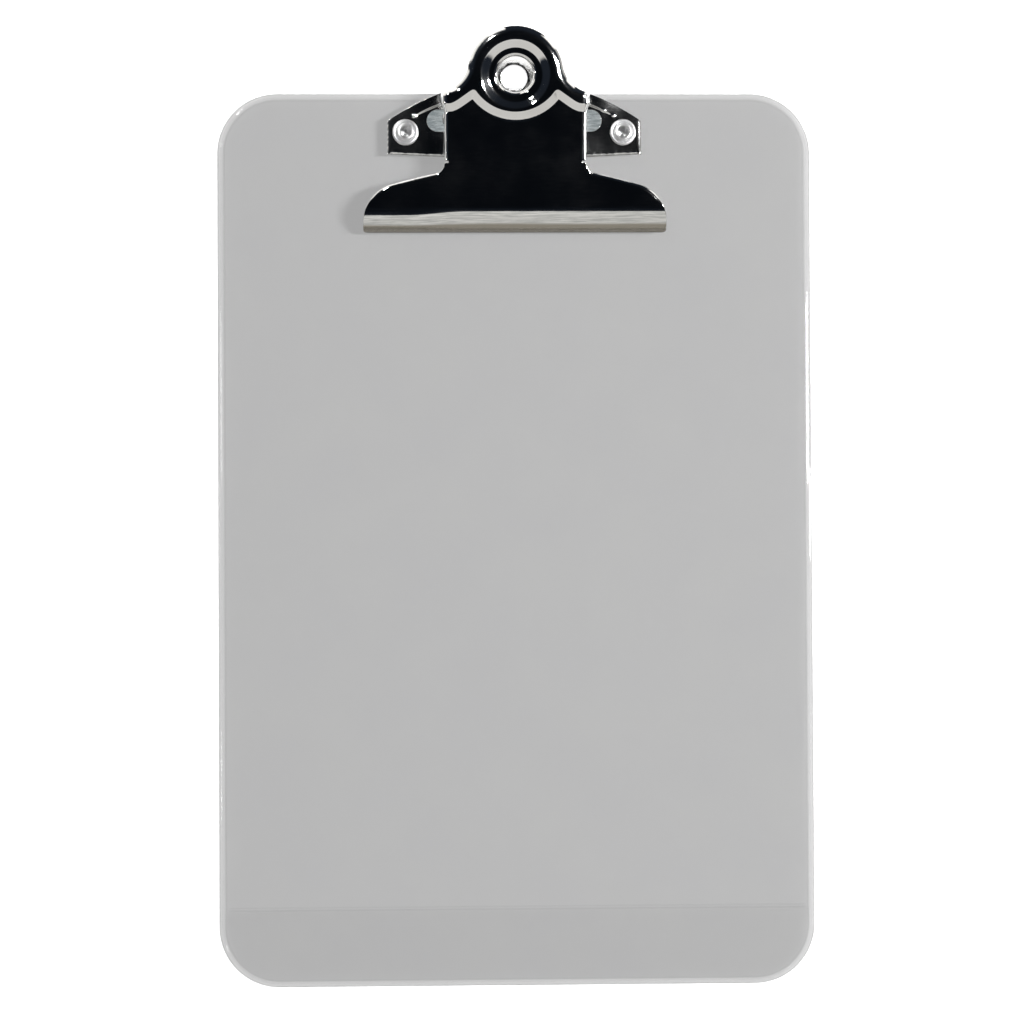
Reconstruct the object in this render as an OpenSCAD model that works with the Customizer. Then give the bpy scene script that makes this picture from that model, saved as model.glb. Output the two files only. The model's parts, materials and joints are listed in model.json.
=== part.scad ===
// Spring clipboard: a moulded board with a sheet-steel lever clip.
// The board lies flat, its back face on z = 0.  +Z comes out of the writing
// face, +Y runs from the lower edge up to the clip, +X is to the right.
// The origin is the centre of the board's back face.  Millimetres.

/* [Board] */
// width of the board
board_w = 152.4; // [140:0.1:240]
// height of the board
board_h = 228.6; // [200:0.1:330]
// thickness of the board
board_t = 3.0; // [2.4:0.1:5]
// radius of the four corners seen from above
corner_r = 15.4; // [6:0.1:25]
// radius of the rounding along the rim of the board
rim_r = 1.4; // [0.6:0.05:1.4]
// distance from the lower edge to the low moulded step
step_from_edge = 19.5; // [12:0.5:40]
// height of the low moulded step
step_h = 0.2; // [0.1:0.05:0.5]

/* [Base plate] */
// thickness of the base plate sheet
base_t = 1.0; // [0.8:0.05:1.2]
// half width of the base plate
base_hw = 32.6; // [30:0.1:36]
// lower edge of the base plate, below the top edge of the board
base_low = 16.1; // [15:0.1:17]
// radius of the long curve along the top edge of the base plate
base_arc_r = 56.95; // [54:0.05:60]
// height by which the border of the base plate is raised
base_joggle = 0.9; // [0.5:0.1:0.9]
// radius of the tab behind the finger grip
tab_r = 10.5; // [8:0.1:11.5]
// radius of the hanging hole in the tab
hang_r = 3.4; // [2.5:0.1:4]
// thickness of the two folded-up ears
ear_t = 1.0; // [0.8:0.05:1.2]
// tip radius of the folded-up ears
ear_r = 2.8; // [2.5:0.05:3]

/* [Pivot] */
// distance of the pivot below the top edge of the board
pivot_down = 7.2; // [6.6:0.1:8]
// height of the pivot above the front of the board
pivot_up = 4.6; // [4.4:0.05:5.2]
// radius of the pivot pin
pin_r = 1.45; // [1.2:0.05:1.6]
// radial play of the pin in the base plate's ears
pin_play = 0.06; // [0.03:0.01:0.1]

/* [Lever] */
// thickness of the lever sheet
lever_t = 1.0; // [0.8:0.05:1.1]
// tilt of the lever at rest, finger grip up
lever_tilt = 10; // [8:0.5:12]
// height of the lever's underside above the pivot
lever_up = 4.0; // [3.8:0.05:4.4]
// half width of the jaw
jaw_hw = 38.8; // [35:0.1:42]
// half width of the neck over the side ears
neck_hw = 18.1; // [18.1:0.1:20]
// outer radius of the rolled-down lip
lip_r = 7.3; // [7:0.1:8]
// distance from the pivot to the start of the lip
jaw_reach = 21.9; // [20:0.1:24]
// gap between the lip and the board with no paper
lip_gap = 0.04; // [0.02:0.01:0.1]
// radius of the rounded finger grip
grip_r = 12.3; // [11.5:0.05:13]
// distance from the pivot to the centre of the finger hole
grip_reach = 11.4; // [11:0.1:13]
// height of the raised bead around the finger hole
bead_h = 1.0; // [0.6:0.1:1.4]
// radius of the finger hole at its narrowest
grip_hole_r = 4.5; // [4:0.1:5]

/* [Spring] */
// radius of the spring wire
wire_r = 0.65; // [0.5:0.05:0.75]
// mean radius of the spring coil
coil_r = 2.4; // [2.25:0.05:2.5]
// number of turns of the coil
coil_turns = 8.9; // [6:0.5:9]
// distance between neighbouring turns
coil_pitch = 1.5; // [1.4:0.05:1.55]

/* [Rivets] */
// half distance between the two rivets
rivet_x = 27.9; // [26.5:0.1:28.5]
// distance of the rivets below the top edge of the board
rivet_down = 10.2; // [9.8:0.1:11]
// outer radius of the rivet tube
rivet_r = 1.9; // [1.6:0.05:2]
// outer radius of the front washer
washer_r = 3.35; // [3.1:0.05:3.6]
// radius of the rivet's head at the back
rivet_head_r = 3.2; // [2.8:0.1:3.5]

/* [Hidden] */
$fn = 96;
eps = 0.01;

top_y = board_h / 2;
front_z = board_t;
base_z = front_z;                       // underside of the base plate
base_top = base_z + base_t;
pivot_y = top_y - pivot_down;
pivot_z = front_z + pivot_up;
rivet_y = top_y - rivet_down;
base_y0 = top_y - base_low;             // lower edge of the base plate
arc_top = top_y + 3.0;                  // crown of the base plate's top edge
arc_y = arc_top - base_arc_r;           // centre of that curve
tab_y = top_y + 3.7;
joggle_r = base_arc_r - 2.9;            // where the border starts to rise
rise_w = 0.9;

// side ears: the base plate's stand inside the lever's
lever_ear_x = neck_hw - lever_t;        // inner face of the lever's ears
base_ear_x = lever_ear_x - 0.3;         // outer face of the base plate's ears
bend_r = 0.5;                           // inside radius of the bends
base_bend = bend_r + ear_t;
lever_bend = bend_r + lever_t;
window_x = 22.4;                        // outer end of the holes the ears leave

lever_top = lever_up + lever_t;
pin_len = 2 * (neck_hw + 0.4);

// ---------- small helpers ----------

module both_sides() { children(); mirror([1, 0, 0]) children(); }

// place something drawn in the lever's own frame: x across, y along the
// sheet away from the lip, z up from the pivot
module in_lever() {
    translate([0, pivot_y, pivot_z]) rotate([lever_tilt, 0, 0]) children();
}

// a side profile drawn as (y, z), given width w along x and centred on it
module across(w) {
    rotate([90, 0, 90]) translate([0, 0, -w / 2]) linear_extrude(w) children();
}

function tangent_angle(p, r, side) =
    atan2(p[1], p[0]) + side * acos(r / norm(p));

// ---------- board ----------

// half section of the board's rim, x outwards from the corner's centre
module rim_section(len) {
    r = rim_r;
    square([len - r, board_t]);
    translate([0, r]) square([len, board_t - 2 * r]);
    translate([len - r, r]) circle(r);
    translate([len - r, board_t - r]) circle(r);
}

module rim_corner(a) {
    rotate([0, 0, a]) rotate_extrude(angle = 90)
        intersection() {
            rim_section(corner_r);
            square([corner_r + 1, board_t]);
        }
}

module board_blank() {
    cx = board_w / 2 - corner_r;
    cy = board_h / 2 - corner_r;
    translate([-cx, -cy, 0]) cube([2 * cx, 2 * cy, board_t]);
    for (s = [0, 1]) rotate([0, 0, 180 * s]) {
        translate([cx, 0, 0]) rotate([90, 0, 0])
            translate([0, 0, -cy]) linear_extrude(2 * cy) rim_section(corner_r);
        translate([0, cy, 0]) rotate([90, 0, 90])
            translate([0, 0, -cx]) linear_extrude(2 * cx) rim_section(corner_r);
        translate([cx, cy, 0]) rim_corner(0);
        translate([-cx, cy, 0]) rim_corner(90);
    }
}

// low ledge across the foot of the board, its outline just inside the rim
module board_step() {
    in = rim_r + 0.1;
    r = corner_r - in;
    cx = board_w / 2 - corner_r;
    cy = board_h / 2 - corner_r;
    y1 = -board_h / 2 + step_from_edge;
    translate([0, 0, board_t - 0.2]) {
        linear_extrude(0.2 + step_h) difference() {
            union() {
                translate([-cx, -board_h / 2 + in])
                    square([2 * cx, step_from_edge - in]);
                translate([-board_w / 2 + in, -cy])
                    square([board_w - 2 * in, y1 + cy]);
                for (s = [-1, 1]) translate([s * cx, -cy]) circle(r);
            }
            translate([-board_w, y1]) square([2 * board_w, board_h]);
        }
    }
}

module rivet_place(s) { translate([s * rivet_x, rivet_y, 0]) children(); }

module board() {
    color([0.72, 0.73, 0.74, 0.6]) difference() {
        union() { board_blank(); board_step(); }
        for (s = [-1, 1]) rivet_place(s) {
            translate([0, 0, -1]) cylinder(r = rivet_r + 0.1, h = board_t + 2);
            translate([0, 0, -1]) cylinder(r = rivet_head_r + 0.4, h = 1.9);
        }
    }
}

// ---------- base plate ----------

module base_outline() {
    intersection() {
        translate([0, arc_y]) circle(base_arc_r - 0.12, $fn = 240);
        translate([-base_hw, base_y0]) square([2 * base_hw, 60]);
    }
}

// lower edge dips slightly towards the middle
module base_lower_edge() {
    polygon([[-base_hw - 1, base_y0 + 0.75], [-neck_hw + 1, base_y0 - eps],
             [neck_hw - 1, base_y0 - eps], [base_hw + 1, base_y0 + 0.75],
             [base_hw + 1, base_y0 - 5], [-base_hw - 1, base_y0 - 5]]);
}

module base_flat() {
    translate([0, 0, base_z]) linear_extrude(base_t) difference() {
        base_outline();
        base_lower_edge();
        // the raised border takes over in the middle
        intersection() {
            difference() {
                translate([0, arc_y]) circle(base_arc_r + 5, $fn = 240);
                translate([0, arc_y]) circle(joggle_r + 0.5, $fn = 240);
            }
            translate([-26, base_y0]) square([52, 60]);
        }
    }
}

// border along the curved top edge, one sheet thickness, stepped up
module base_border() {
    a = asin(26.8 / base_arc_r);
    j = base_joggle;
    translate([0, arc_y, base_z]) rotate([0, 0, 90 - a])
        rotate_extrude(angle = 2 * a, $fn = 240)
            polygon([[joggle_r - 0.6, 0], [joggle_r + 0.25, 0],
                     [joggle_r + rise_w + 0.25, j], [base_arc_r, j],
                     [base_arc_r, j + base_t],
                     [joggle_r + rise_w - 0.2, j + base_t],
                     [joggle_r - 0.2, base_t], [joggle_r - 0.6, base_t]]);
}

module base_tab() {
    translate([0, 0, base_z + base_joggle]) linear_extrude(base_t) difference() {
        union() {
            translate([0, tab_y]) circle(tab_r);
            translate([-tab_r - 3, arc_y + joggle_r + rise_w + 1])
                square([2 * tab_r + 6, 1]);
        }
        translate([-30, 0]) square([60, arc_y + joggle_r + rise_w + 0.3]);
        // clear of the board's own corner of the curve
        for (s = [-1, 1]) translate([s * (tab_r + 5.2), tab_y + 3]) circle(4.4);
    }
}

// one ear, folded up out of the plate on the right
module base_ear() {
    // window left by the ear's metal is cut in clip_base()
    translate([base_ear_x - base_bend, pivot_y, base_z]) {
        // bend
        rotate([90, 0, 0]) translate([0, 0, -ear_r]) linear_extrude(2 * ear_r)
            intersection() {
                translate([0, base_bend]) difference() {
                    circle(base_bend);
                    circle(bend_r);
                }
                square([base_bend, base_bend]);
            }
    }
    // upright
    translate([base_ear_x - ear_t, pivot_y, 0]) rotate([90, 0, 90])
        linear_extrude(ear_t) difference() {
            union() {
                translate([-ear_r, base_z + base_bend])
                    square([2 * ear_r, pivot_z - base_z - base_bend]);
                translate([0, pivot_z]) circle(ear_r);
            }
            translate([0, pivot_z]) circle(pin_r + pin_play);
        }
}

module base_window() {
    x0 = base_ear_x - base_bend;
    translate([x0, pivot_y - ear_r, base_z - 1])
        cube([window_x - ear_r - x0, 2 * ear_r, base_t + 4]);
    translate([window_x - ear_r, pivot_y, base_z - 1])
        cylinder(r = ear_r, h = base_t + 4);
}

module clip_base() {
    color([0.80, 0.80, 0.79]) {
        difference() {
            union() { base_flat(); base_border(); base_tab(); }
            both_sides() base_window();
            for (s = [-1, 1]) rivet_place(s)
                translate([0, 0, base_z - 1])
                    cylinder(r = rivet_r + 0.1, h = base_t + 3);
            translate([0, tab_y, base_z - 1]) cylinder(r = hang_r, h = 6);
        }
        both_sides() base_ear();
    }
}

// ---------- lever ----------

// shoulder of the jaw: a straight slope between a hollow and a round corner
jaw_slope = 13.8;
jaw_corner_r = 10;
neck_fillet = 2.5;
slope_n = [sin(jaw_slope), cos(jaw_slope)];
slope_d = -8.36 - (jaw_reach - 21.9) * cos(jaw_slope)
          + (neck_hw - 18.1) * sin(jaw_slope);
corner_cx = jaw_hw - jaw_corner_r;
corner_cy = (slope_d - jaw_corner_r - corner_cx * slope_n[0]) / slope_n[1];
fillet_cx = neck_hw + neck_fillet;
fillet_cy = (slope_d + neck_fillet - fillet_cx * slope_n[0]) / slope_n[1];

// hollow curve between the neck and the finger grip
hollow_r = 8;
neck_top = 7.1;
hollow_dx = neck_hw;
hollow_dy = neck_top - grip_reach;
hollow_d = norm([hollow_dx, hollow_dy]);
hollow_a = (pow(grip_r + hollow_r, 2) - pow(hollow_r, 2) + pow(hollow_d, 2))
           / (2 * hollow_d);
hollow_h = sqrt(pow(grip_r + hollow_r, 2) - pow(hollow_a, 2));
hollow_x = (hollow_a * hollow_dx - hollow_h * hollow_dy) / hollow_d;
hollow_y = grip_reach + (hollow_a * hollow_dy + hollow_h * hollow_dx) / hollow_d;

module jaw_half() {
    low = -60;
    polygon([[0, low], [jaw_hw, low], [jaw_hw, corner_cy],
             [corner_cx, corner_cy],
             [corner_cx, (slope_d - corner_cx * slope_n[0]) / slope_n[1] - 1.5],
             [corner_cx + jaw_corner_r * slope_n[0],
              corner_cy + jaw_corner_r * slope_n[1]],
             [fillet_cx - neck_fillet * slope_n[0],
              fillet_cy - neck_fillet * slope_n[1]],
             [0, fillet_cy - neck_fillet * slope_n[1]]]);
    translate([corner_cx, corner_cy]) circle(jaw_corner_r);
}

module neck_half() {
    polygon([[0, fillet_cy - neck_fillet], [neck_hw - 1,
              fillet_cy - neck_fillet], [neck_hw, fillet_cy - neck_fillet],
             [neck_hw, neck_top], [0, neck_top]]);
    // hollow fillet from the neck into the shoulder
    difference() {
        polygon([[neck_hw - 1, fillet_cy], [fillet_cx, fillet_cy],
                 [fillet_cx - neck_fillet * slope_n[0],
                  fillet_cy - neck_fillet * slope_n[1]],
                 [neck_hw - 1, fillet_cy - neck_fillet - 1]]);
        translate([fillet_cx, fillet_cy]) circle(neck_fillet);
    }
}

module grip_half() {
    t = grip_r / (grip_r + hollow_r);
    difference() {
        polygon([[0, neck_top - eps], [neck_hw, neck_top - eps],
                 [neck_hw, neck_top],
                 [hollow_x, hollow_y], [hollow_x * t,
                  grip_reach + (hollow_y - grip_reach) * t],
                 [0, grip_reach + 1]]);
        translate([hollow_x, hollow_y]) circle(hollow_r);
    }
}

module lever_outline() {
    both_sides() { jaw_half(); neck_half(); grip_half(); }
    translate([0, grip_reach]) circle(grip_r);
}

// flat sheet with the lip rolled down at the front, seen from the side
module lever_profile() {
    translate([-jaw_reach - eps, lever_up])
        square([jaw_reach + 40, lever_t]);
    intersection() {
        translate([-jaw_reach, lever_top - lip_r]) difference() {
            circle(lip_r, $fn = 180);
            circle(lip_r - lever_t, $fn = 180);
        }
        translate([-jaw_reach - lip_r, lever_top - lip_r])
            square([lip_r, lip_r]);
    }
}

module lever_sheet() {
    intersection() {
        across(2 * jaw_hw + 2) lever_profile();
        translate([0, 0, -6]) linear_extrude(16) difference() {
            lever_outline();
            // room for the bends of the side ears
            for (s = [-1, 1]) translate([s * neck_hw, (neck_top - 10.5) / 2])
                square([2 * lever_bend, neck_top + 10.5], center = true);
            // the grip is pressed separately
            translate([0, grip_reach]) circle(grip_r - 1.6);
        }
    }
}

// bead of revolution round the finger hole, with its rim turned down
module lever_bead() {
    translate([0, grip_reach, lever_up]) rotate_extrude()
        polygon([[grip_hole_r, -1.0], [grip_hole_r + 0.9, -1.0],
                 [grip_hole_r + 0.9, 0.15], [6.9, 0.15],
                 [8.7, bead_h], [grip_r - 2.4, bead_h],
                 [grip_r - 0.6, 0], [grip_r, 0],
                 [grip_r, lever_t], [grip_r - 0.3, lever_t],
                 [grip_r - 2.0, bead_h + lever_t],
                 [8.4, bead_h + lever_t], [6.6, 0.15 + lever_t],
                 [grip_hole_r + 0.6, 0.15 + lever_t],
                 [grip_hole_r + 0.2, lever_t - 0.05],
                 [grip_hole_r, lever_t - 0.5]]);
}

// shallow pressed swelling from each side ear up to the bead
module lever_shoulder() {
    difference() {
        intersection() {
            across(2 * neck_hw) polygon([
                [2.2, lever_top - 0.3], [4.4, lever_top + bead_h * 0.8],
                [13, lever_top + bead_h * 0.8], [13, lever_top - 0.3]]);
            translate([0, 0, 0]) linear_extrude(12)
                intersection() {
                    difference() {
                        lever_outline();
                        translate([0, grip_reach]) circle(grip_r - 1.2);
                        for (s = [-1, 1])
                            translate([s * neck_hw, 0])
                                square([1.6, 60], center = true);
                    }
                    translate([-neck_hw, 0]) square([2 * neck_hw, 13]);
                }
        }
        translate([-7, 0, 0]) cube([14, 30, 12]);
    }
}

// side ear: bend and upright cheek, on the right
module lever_ear() {
    y0 = -10.5;
    y1 = neck_top;
    r = 3.0;
    top = lever_top - lever_bend;
    a0 = tangent_angle([y0, top], r, 1);
    a1 = tangent_angle([y1, top], r, -1);
    translate([neck_hw - lever_bend, y1, top]) rotate([90, 0, 0])
        linear_extrude(y1 - y0) intersection() {
            difference() { circle(lever_bend); circle(bend_r); }
            square([lever_bend, lever_bend]);
        }
    translate([lever_ear_x, 0, 0]) rotate([90, 0, 90]) linear_extrude(lever_t)
        difference() {
            union() {
                polygon([[y0, top + eps], [y0, top], r * [cos(a0), sin(a0)],
                         r * [cos(a1), sin(a1)], [y1, top], [y1, top + eps]]);
                circle(r);
            }
            circle(pin_r);
        }
}

module clip_lever() {
    color([0.84, 0.84, 0.83]) difference() {
        in_lever() {
            lever_sheet();
            lever_bead();
            lever_shoulder();
            both_sides() lever_ear();
        }
        // the lip is cut off just clear of the board
        translate([-60, 0, -20]) cube([120, top_y - 4, front_z + lip_gap + 20]);
    }
}

// ---------- pivot pin and spring ----------

module hinge_pin() {
    c = 0.25;
    h = pin_len / 2;
    color([0.62, 0.62, 0.63]) translate([0, pivot_y, pivot_z])
        rotate([90, 0, 90]) rotate_extrude()
            polygon([[0, -h], [pin_r - c, -h], [pin_r, -h + c],
                     [pin_r, h - c], [pin_r - c, h], [0, h]]);
}

// Wire path of the torsion spring: a straight leg resting on the base plate,
// the coil round the pin, a straight leg pressing up under the finger grip.
foot_a = -90 - 4.5;                     // where the lower leg leaves the coil
arm_a = 90 + lever_tilt + 5.9;          // where the upper leg leaves the coil
foot_len = 6.5;
arm_len = 9.0;
turn_all = 360 * ceil(coil_turns) - (arm_a - foot_a);
coil_len = coil_pitch * turn_all / 360;
coil_steps = ceil(turn_all / 15);
function coil_point(a, x) = [x, coil_r * cos(a), coil_r * sin(a)];
coil_path = concat(
    [for (k = [1, 0.5]) coil_point(foot_a, -coil_len / 2)
        + foot_len * k * [0, -sin(foot_a), cos(foot_a)]],
    [for (i = [0 : coil_steps])
        let (t = i / coil_steps)
        coil_point(foot_a - turn_all * t, coil_len * (t - 0.5))],
    [for (k = [0.5, 1]) coil_point(arm_a, coil_len / 2)
        + arm_len * k * [0, sin(arm_a), -cos(arm_a)]]);

wire_n = 8;
path_n = len(coil_path);
function unit(v) = v / norm(v);
function path_dir(i) =
    unit(coil_path[min(i + 1, path_n - 1)] - coil_path[max(i - 1, 0)]);
// one ring of the wire: radial from the coil's axis and across it
function wire_ring(i) =
    let (d = path_dir(i),
         s = unit(cross(d, [1, 0, 0])),
         u = unit(cross(s, d)))
    [for (k = [0 : wire_n - 1])
        coil_path[i] + wire_r * (cos(360 * k / wire_n) * s
                                 + sin(360 * k / wire_n) * u)];
wire_points = [for (i = [0 : path_n - 1]) each wire_ring(i)];
wire_faces = concat(
    [[for (k = [0 : wire_n - 1]) k]],
    [for (i = [0 : path_n - 2], k = [0 : wire_n - 1])
        let (a = i * wire_n + k, b = i * wire_n + (k + 1) % wire_n)
        each [[a, a + wire_n, b], [b, a + wire_n, b + wire_n]]],
    [[for (k = [wire_n - 1 : -1 : 0]) (path_n - 1) * wire_n + k]]);

module torsion_spring() {
    color([0.45, 0.46, 0.48]) translate([0, pivot_y, pivot_z])
        polyhedron(points = wire_points, faces = wire_faces, convexity = 10);
}

// ---------- rivets ----------

// tubular rivet: head let into the back, front end rolled over the washer
module rivet() {
    hz = 0.15;                          // the head stays clear of the table
    rim_z = base_top + 0.5;             // top of the washer's flat
    roll = 0.42;
    color([0.86, 0.86, 0.85]) rotate_extrude() {
        difference() {
            union() {
                translate([0, hz]) square([rivet_head_r, 0.7]);
                translate([0, hz]) square([rivet_r, rim_z + roll - hz]);
                translate([rivet_r - 0.05, rim_z + roll]) circle(roll);
            }
            translate([-5, -5]) square([5, 30]);
            // hollow end
            translate([0, hz + 1.2]) square([rivet_r - 0.55, 20]);
        }
        polygon([[0, hz + 1.1], [1.0, hz + 1.1], [0.35, hz + 2.6],
                 [0, hz + 2.7]]);
    }
}

module rivet_left() { rivet_place(-1) rivet(); }
module rivet_right() { rivet_place(1) rivet(); }

// domed front washer under the rolled end
module rivet_washer() {
    color([0.88, 0.88, 0.87]) translate([0, 0, base_top]) rotate_extrude()
        difference() {
            union() {
                translate([rivet_r + 0.03, 0])
                    square([washer_r - rivet_r - 0.03 - 0.4, 0.46]);
                translate([rivet_r + 0.03, 0])
                    square([washer_r - rivet_r - 0.03, 0.3]);
                translate([washer_r - 0.45, 0.3]) circle(0.45);
            }
            translate([-5, -5]) square([20, 5]);
        }
}

module rivet_washer_left() { rivet_place(-1) rivet_washer(); }
module rivet_washer_right() { rivet_place(1) rivet_washer(); }

board();
clip_base();
clip_lever();
hinge_pin();
torsion_spring();
rivet_left();
rivet_right();
rivet_washer_left();
rivet_washer_right();
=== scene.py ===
import json
import math

import bpy
import numpy as np
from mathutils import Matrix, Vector
from mathutils.geometry import delaunay_2d_cdt

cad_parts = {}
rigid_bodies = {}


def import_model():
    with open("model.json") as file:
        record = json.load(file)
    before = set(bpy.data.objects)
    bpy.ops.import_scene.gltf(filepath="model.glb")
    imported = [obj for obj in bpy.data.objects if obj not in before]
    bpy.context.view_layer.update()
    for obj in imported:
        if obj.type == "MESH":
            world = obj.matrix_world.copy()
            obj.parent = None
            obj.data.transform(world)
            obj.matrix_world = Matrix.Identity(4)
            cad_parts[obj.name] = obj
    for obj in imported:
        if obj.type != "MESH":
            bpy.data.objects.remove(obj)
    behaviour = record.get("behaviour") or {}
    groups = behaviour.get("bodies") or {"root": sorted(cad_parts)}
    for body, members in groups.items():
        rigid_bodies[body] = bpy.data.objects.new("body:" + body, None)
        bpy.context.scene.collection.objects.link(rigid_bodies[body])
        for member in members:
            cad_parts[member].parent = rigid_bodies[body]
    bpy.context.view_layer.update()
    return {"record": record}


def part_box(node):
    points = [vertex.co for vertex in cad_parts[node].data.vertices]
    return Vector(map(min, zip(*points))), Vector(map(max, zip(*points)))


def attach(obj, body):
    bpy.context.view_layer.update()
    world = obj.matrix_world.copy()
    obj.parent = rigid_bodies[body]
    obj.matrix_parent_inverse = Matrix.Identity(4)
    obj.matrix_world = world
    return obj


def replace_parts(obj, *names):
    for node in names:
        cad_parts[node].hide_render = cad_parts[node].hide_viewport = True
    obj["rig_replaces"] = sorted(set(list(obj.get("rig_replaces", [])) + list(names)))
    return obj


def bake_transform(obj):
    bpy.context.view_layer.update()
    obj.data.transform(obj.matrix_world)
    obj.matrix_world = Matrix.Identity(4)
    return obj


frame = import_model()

MM = 0.001
BASE_BODY, LEVER_BODY = "board_and_base", "lever"

# ------------------------------------------------------------------ camera
cam_data = bpy.data.cameras.new("camera")
cam = bpy.data.objects.new("camera", cam_data)
bpy.context.scene.collection.objects.link(cam)
bpy.context.scene.camera = cam
cam_data.sensor_width = 36.0
cam_data.lens = 3514.5 * 36.0 / 1024.0
cam.location = (-0.0338018, -0.0155653, 0.9020916)
cam.rotation_mode = "XYZ"
cam.rotation_euler = (0.02494, -0.03629, -0.00508)
cam_data.clip_start, cam_data.clip_end = 0.02, 20.0

scene = bpy.context.scene
scene.view_settings.view_transform = "Standard"
scene.view_settings.look = "None"

# ------------------------------------------------------------- dimensions
# millimetres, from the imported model
b_lo, b_hi = [np.array(c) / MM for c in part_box("board")]
BW, BH = b_hi[0] - b_lo[0], b_hi[1] - b_lo[1]
BT = 3.0
CORNER, RIM = 15.4, 1.4
TOP = b_hi[1]
STEP_Y = b_lo[1] + 19.5
PIV = np.array(frame["record"]["behaviour"]["joints"][0]["pos_m"]) / MM
TILT = math.radians(10.0)
RIVX, RIVY = 27.9, TOP - 10.2


# ---------------------------------------------------------------- helpers
def smooth(x):
    x = np.clip(x, 0.0, 1.0)
    return x * x * (3 - 2 * x)


def ramp(x, w, soft):
    """0 below x = 0, 1 above x = w, straight between, eased over soft at each end."""
    t = np.linspace(0, w, 400)
    k = np.clip(t / soft, 0, 1) * np.clip((w - t) / soft, 0, 1)
    c = np.concatenate([[0], np.cumsum((k[1:] + k[:-1]) / 2)])
    return np.interp(x, t, c / c[-1])


def arc(c, r, a0, a1, step=0.3):
    n = max(3, int(abs(math.radians(a1 - a0)) * r / step) + 1)
    t = np.radians(np.linspace(a0, a1, n))
    return np.c_[c[0] + r * np.cos(t), c[1] + r * np.sin(t)]


def dense(pts, step=0.4, close=False):
    """Adds points along straight stretches longer than step."""
    pts = [np.asarray(p, float) for p in pts]
    out = []
    n = len(pts)
    for i in range(n if close else n - 1):
        a, b = pts[i], pts[(i + 1) % n]
        k = max(1, int(np.linalg.norm(b - a) / step))
        for j in range(k):
            out.append(a + (b - a) * j / k)
    if not close:
        out.append(pts[-1])
    return np.array(out)


def tidy(p, least=0.04):
    keep = [p[0]]
    for q in p[1:]:
        if np.linalg.norm(q - keep[-1]) > least:
            keep.append(q)
    if np.linalg.norm(keep[0] - keep[-1]) < least:
        keep.pop()
    return np.array(keep)


def signed_area(p):
    x, y = p[:, 0], p[:, 1]
    return 0.5 * float(np.sum(x * np.roll(y, -1) - y * np.roll(x, -1)))


def turned(p, ccw):
    return p if (signed_area(p) > 0) == ccw else p[::-1].copy()


def loop_normals(p):
    """Outward directions, away from the sheet, with mitred length."""
    e = np.roll(p, -1, 0) - p
    e /= np.linalg.norm(e, axis=1)[:, None]
    n = np.c_[e[:, 1], -e[:, 0]]
    m = n + np.roll(n, 1, 0)
    ln = np.linalg.norm(m, axis=1)
    m /= np.maximum(ln, 0.6)[:, None]
    c = np.maximum((m * n).sum(1), 0.62)
    return m / c[:, None]


def inside(points, loops):
    """Even-odd test of points against closed loops."""
    hit = np.zeros(len(points), bool)
    px, py = points[:, 0], points[:, 1]
    for p in loops:
        a, b = p, np.roll(p, -1, 0)
        for (x0, y0), (x1, y1) in zip(a, b):
            if y0 == y1:
                continue
            cross = ((y0 > py) != (y1 > py)) & (
                px < (x1 - x0) * (py - y0) / (y1 - y0) + x0
            )
            hit ^= cross
    return hit


def far_from(points, loops, least):
    keep = np.ones(len(points), bool)
    allp = np.vstack(loops)
    for k in range(0, len(points), 2000):
        d = points[k:k + 2000, None, :] - allp[None]
        keep[k:k + 2000] = (d ** 2).sum(2).min(1) > least * least
    return points[keep]


def polyline_distance(points, line):
    """Distance from points to an open polyline and which side they're on (+ left)."""
    best = np.full(len(points), 1e9)
    side = np.zeros(len(points))
    for a, b in zip(line[:-1], line[1:]):
        ab = b - a
        t = np.clip(((points - a) @ ab) / (ab @ ab), 0, 1)
        q = a + t[:, None] * ab
        d = points - q
        dist = np.linalg.norm(d, axis=1)
        cr = ab[0] * (points[:, 1] - a[1]) - ab[1] * (points[:, 0] - a[0])
        near = dist < best - 1e-9
        best = np.where(near, dist, best)
        side = np.where(near, np.sign(cr), side)
    return best, side


def make_object(name, verts, faces, material, smooth_shade=True):
    me = bpy.data.meshes.new(name)
    me.from_pydata([tuple(v) for v in verts], [], [tuple(f) for f in faces])
    me.validate()
    me.update()
    if smooth_shade:
        me.polygons.foreach_set("use_smooth", [True] * len(me.polygons))
    ob = bpy.data.objects.new(name, me)
    bpy.context.scene.collection.objects.link(ob)
    me.materials.append(material)
    return ob


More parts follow.
